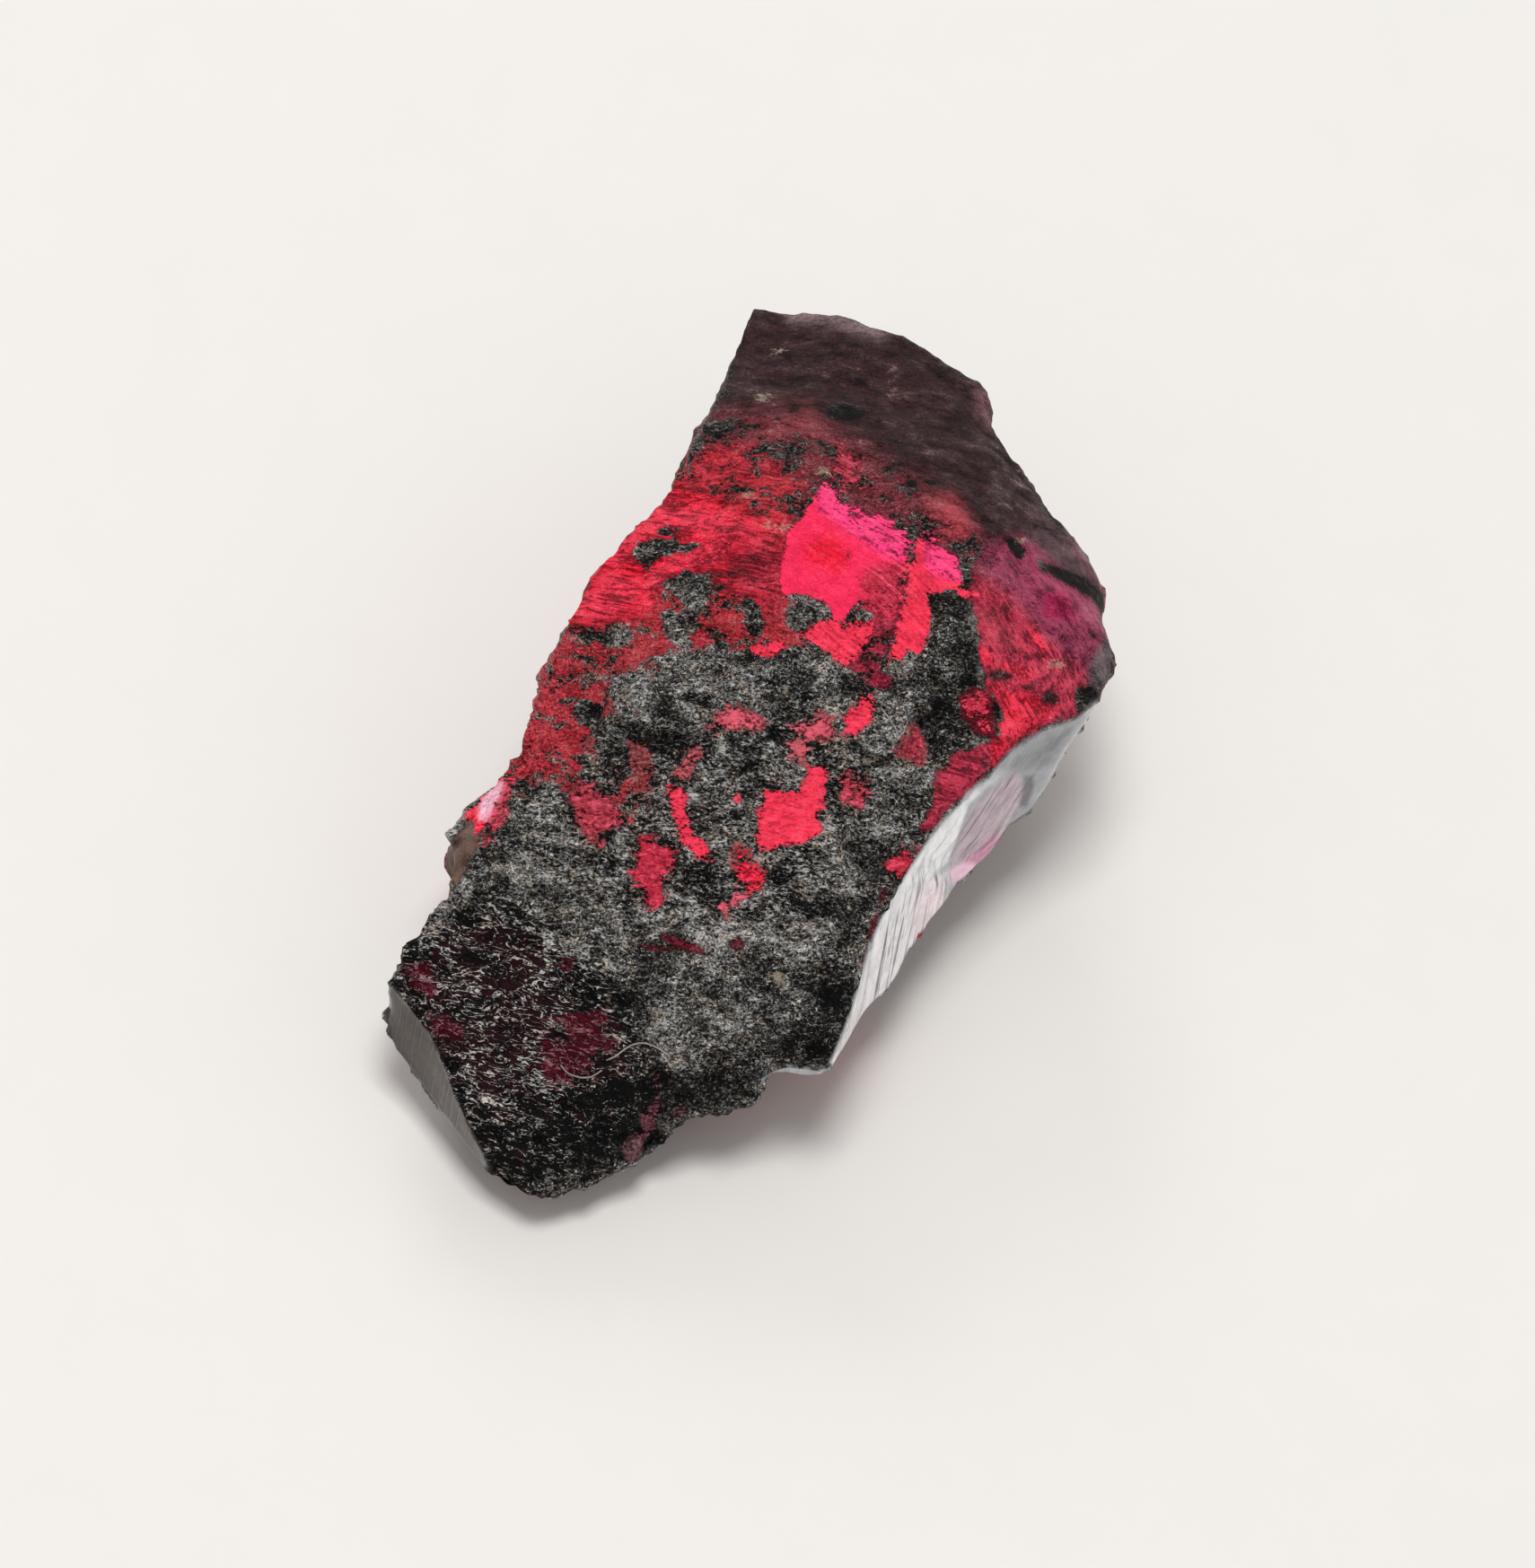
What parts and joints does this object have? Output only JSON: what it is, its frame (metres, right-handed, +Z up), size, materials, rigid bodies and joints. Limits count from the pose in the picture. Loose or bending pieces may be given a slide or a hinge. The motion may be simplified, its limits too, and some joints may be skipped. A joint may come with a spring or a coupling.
{
  "type": "rough painite stone",
  "caption": "Rough painite: a broken piece of dark red crystal with a coarse black skin, glowing red windows and smooth glassy cleavage faces, resting on a flat underside.",
  "frame": {"origin": "middle of the stone's box in plan, on the level that it rests on", "axes": "+Z up, +Y along the stone from its low near end to its high far end, +X to the right seen from the near end"},
  "size_m": [0.007, 0.011, 0.0043],
  "materials": {
    "painite": "black granular skin over deep red to pink-red crystal, satin to dull where broken, glassy on the cleavage faces"
  },
  "bodies": {
    "root": {"stone": "painite"}
  },
  "joints": []
}
